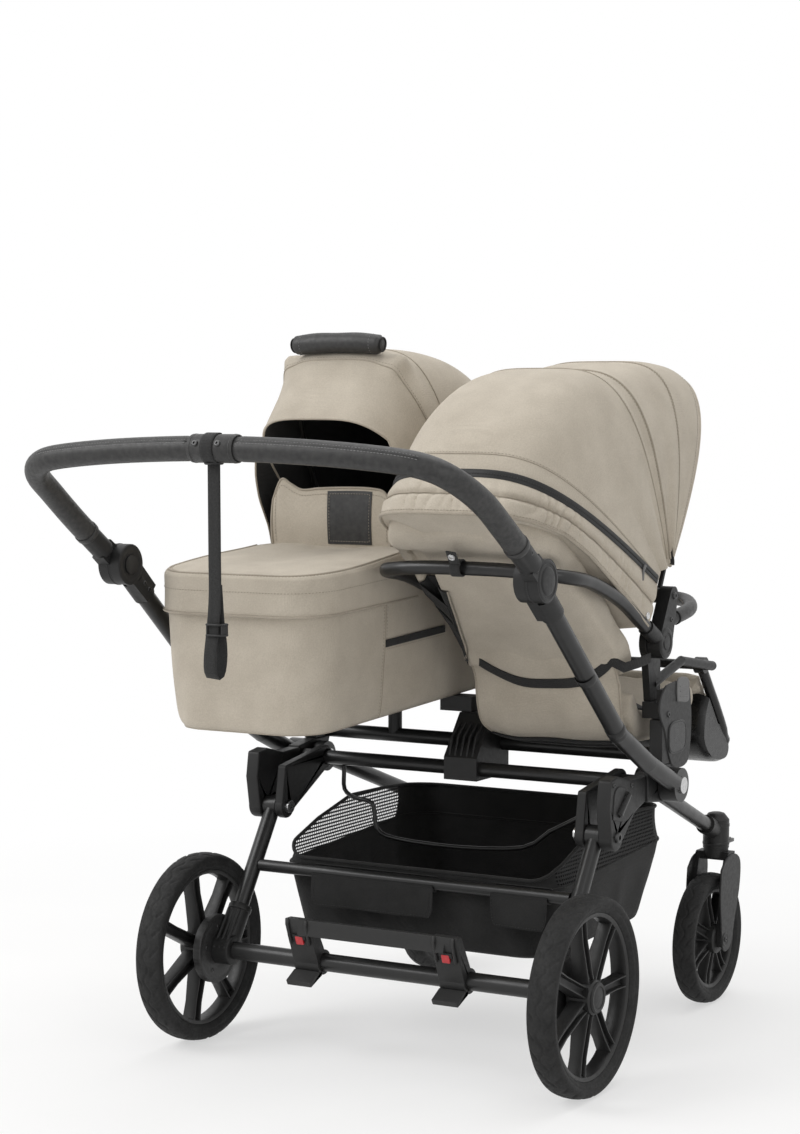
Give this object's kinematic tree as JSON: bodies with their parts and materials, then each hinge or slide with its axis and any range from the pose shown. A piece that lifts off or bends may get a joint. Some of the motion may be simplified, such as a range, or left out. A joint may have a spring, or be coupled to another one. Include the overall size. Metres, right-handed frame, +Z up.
{
  "type": "twin pram",
  "caption": "Side-by-side folding twin pram with a hooded carrycot, a reclined hooded seat unit, a tilting push handle, a foot brake, a basket and swivelling front wheels.",
  "frame": {"origin": "on the ground, under the middle of the bounding box", "axes": "+X to the pusher's right, +Y the way it rolls, +Z up"},
  "size_m": [0.7822, 1.2552, 1.166],
  "materials": {
    "frame_metal": "satin black",
    "black_plastic": "fine texture",
    "rim_plastic": "satin",
    "drum_metal": "satin",
    "grey_plastic": "fine texture",
    "red_plastic": "gloss",
    "steel": "brushed",
    "tyre": "matt",
    "leatherette": "stitched",
    "webbing": "woven",
    "beige_fabric": "fine weave",
    "white_fabric": "knit",
    "black_fabric": "fabric and mesh"
  },
  "bodies": {
    "frame": {"hinge_blocks": "black_plastic", "cross_tubes": "frame_metal", "centre_mount": "black_plastic", "side_mounts": "black_plastic", "suspension_housings": "black_plastic", "cot_post": "frame_metal", "basket": "black_fabric", "basket_wire": "frame_metal", "pivot_bolts": "steel"},
    "handle_frame": {"handle_tubes": "frame_metal", "handle_knuckles": "black_plastic"},
    "handle": {"handle_bar": "frame_metal", "handle_grip": "leatherette", "handle_clamp": "black_plastic", "handle_ends": "black_plastic", "wrist_strap": "webbing", "strap_slider": "black_plastic"},
    "button_left": {"handle_button_left": "black_plastic"},
    "button_right": {"handle_button_right": "black_plastic"},
    "rear_leg_frame": {"rear_legs": "frame_metal", "rear_axle": "frame_metal", "hub_brackets": "black_plastic", "brake_drums": "drum_metal", "basket_bar": "frame_metal"},
    "brake": {"brake_bar": "grey_plastic", "brake_windows": "red_plastic"},
    "rear_wheel_left": {"rear_tyre_left": "tyre", "rear_rim_left": "rim_plastic"},
    "rear_wheel_right": {"rear_tyre_right": "tyre", "rear_rim_right": "rim_plastic"},
    "front_leg_frame": {"front_legs": "frame_metal", "caster_housings": "black_plastic"},
    "swivel_left": {"fork_left": "black_plastic"},
    "swivel_right": {"fork_right": "black_plastic"},
    "lock_left": {"swivel_lock_left": "grey_plastic"},
    "lock_right": {"swivel_lock_right": "grey_plastic"},
    "front_wheel_left": {"front_tyre_left": "tyre", "front_rim_left": "rim_plastic"},
    "front_wheel_right": {"front_tyre_right": "tyre", "front_rim_right": "rim_plastic"},
    "carrycot": {"cot_tub": "beige_fabric", "cot_mattress": "white_fabric", "cot_apron": "beige_fabric", "cot_adapters": "black_plastic", "cot_hood": "beige_fabric"},
    "cot_latch": {"cot_release": "grey_plastic"},
    "cot_hood_frame": {"cot_hood_bow": "frame_metal", "cot_carry_grip": "leatherette"},
    "seat_unit": {"seat_frame": "black_plastic", "seat_cushion": "beige_fabric", "harness": "webbing"},
    "seat_latch": {"seat_release": "grey_plastic"},
    "bumper": {"bumper_bar": "leatherette"},
    "leg_rest": {"footrest": "black_plastic", "calf_pad": "beige_fabric"},
    "seat_back": {"back_tube": "frame_metal", "back_brackets": "black_plastic", "back_cover": "beige_fabric", "seat_hood": "beige_fabric"},
    "seat_hood_frame": {"seat_hood_bow": "frame_metal"}
  },
  "joints": [
    {"name": "frame_fold", "type": "hinge", "parent": "frame", "child": "handle_frame", "pos_m": [0, 0.1676, 0.44], "axis": [-1, 0, 0], "range_deg": [0, 150], "deforming": ["basket"]},
    {"name": "rear_leg_fold", "type": "hinge", "parent": "frame", "child": "rear_leg_frame", "pos_m": [0, -0.0024, 0.377], "axis": [1, 0, 0], "range_deg": [0, 60]},
    {"name": "front_leg_fold", "type": "hinge", "parent": "frame", "child": "front_leg_frame", "pos_m": [0, 0.1676, 0.44], "axis": [-1, 0, 0], "range_deg": [0, 60]},
    {"name": "handle_tilt", "type": "hinge", "parent": "handle_frame", "child": "handle", "pos_m": [0, -0.3404, 0.801], "axis": [-1, 0, 0], "range_deg": [-60, 45]},
    {"name": "handle_button_left_press", "type": "slide", "parent": "handle_frame", "child": "button_left", "axis": [-1, 0, 0], "range_m": [0, 0.003], "stiffness_N_per_m": 300},
    {"name": "handle_button_right_press", "type": "slide", "parent": "handle_frame", "child": "button_right", "axis": [1, 0, 0], "range_m": [0, 0.003], "stiffness_N_per_m": 300},
    {"name": "brake_press", "type": "hinge", "parent": "rear_leg_frame", "child": "brake", "pos_m": [0, -0.1474, 0.156], "axis": [1, 0, 0], "range_deg": [0, 14]},
    {"name": "rear_wheel_left_spin", "type": "hinge", "parent": "rear_leg_frame", "child": "rear_wheel_left", "pos_m": [-0.354, -0.1474, 0.156], "axis": [1, 0, 0], "continuous": true},
    {"name": "fork_left_swivel", "type": "hinge", "parent": "front_leg_frame", "child": "swivel_left", "pos_m": [-0.274, 0.5446, 0.272], "axis": [0, 0, 1], "continuous": true},
    {"name": "front_wheel_left_spin", "type": "hinge", "parent": "swivel_left", "child": "front_wheel_left", "pos_m": [-0.274, 0.5126, 0.115], "axis": [1, 0, 0], "continuous": true},
    {"name": "swivel_lock_left_flip", "type": "hinge", "parent": "front_leg_frame", "child": "lock_left", "pos_m": [-0.274, 0.5736, 0.28], "axis": [1, 0, 0], "range_deg": [0, 24]},
    {"name": "rear_wheel_right_spin", "type": "hinge", "parent": "rear_leg_frame", "child": "rear_wheel_right", "pos_m": [0.354, -0.1474, 0.156], "axis": [1, 0, 0], "continuous": true},
    {"name": "fork_right_swivel", "type": "hinge", "parent": "front_leg_frame", "child": "swivel_right", "pos_m": [0.274, 0.5446, 0.272], "axis": [0, 0, 1], "continuous": true},
    {"name": "front_wheel_right_spin", "type": "hinge", "parent": "swivel_right", "child": "front_wheel_right", "pos_m": [0.274, 0.5126, 0.115], "axis": [1, 0, 0], "continuous": true},
    {"name": "swivel_lock_right_flip", "type": "hinge", "parent": "front_leg_frame", "child": "lock_right", "pos_m": [0.274, 0.5736, 0.28], "axis": [1, 0, 0], "range_deg": [0, 24]},
    {"name": "cot_lift", "type": "slide", "parent": "frame", "child": "carrycot", "axis": [0, 0, 1], "range_m": [0, 0.3]},
    {"name": "cot_release_press", "type": "slide", "parent": "carrycot", "child": "cot_latch", "axis": [1, 0, 0], "range_m": [0, 0.003], "stiffness_N_per_m": 300},
    {"name": "cot_hood_fold", "type": "hinge", "parent": "carrycot", "child": "cot_hood_frame", "pos_m": [-0.18, 0.2026, 0.804], "axis": [-1, 0, 0], "range_deg": [0, 75], "deforming": ["cot_hood"]},
    {"name": "seat_lift", "type": "slide", "parent": "frame", "child": "seat_unit", "axis": [0, 0, 1], "range_m": [0, 0.3]},
    {"name": "seat_release_press", "type": "slide", "parent": "seat_unit", "child": "seat_latch", "axis": [-1, 0, 0], "range_m": [0, 0.003], "stiffness_N_per_m": 300},
    {"name": "seat_recline", "type": "hinge", "parent": "seat_unit", "child": "seat_back", "pos_m": [0.164, 0.1776, 0.668], "axis": [-1, 0, 0], "range_deg": [0, 25]},
    {"name": "seat_hood_fold", "type": "hinge", "parent": "seat_back", "child": "seat_hood_frame", "pos_m": [0.164, 0.2076, 0.742], "axis": [1, 0, 0], "range_deg": [0, 70], "deforming": ["seat_hood"]},
    {"name": "bumper_swing", "type": "hinge", "parent": "seat_unit", "child": "bumper", "pos_m": [0.3005, 0.2576, 0.69], "axis": [0, 0, -1], "range_deg": [0, 80]},
    {"name": "footrest_tilt", "type": "hinge", "parent": "seat_unit", "child": "leg_rest", "pos_m": [0.164, 0.4326, 0.606], "axis": [1, 0, 0], "range_deg": [-15, 40]}
  ],
  "couplings": [
    {"joint": "rear_leg_fold", "follows": "frame_fold", "ratio": 0.4},
    {"joint": "front_leg_fold", "follows": "frame_fold", "ratio": 0.4}
  ]
}
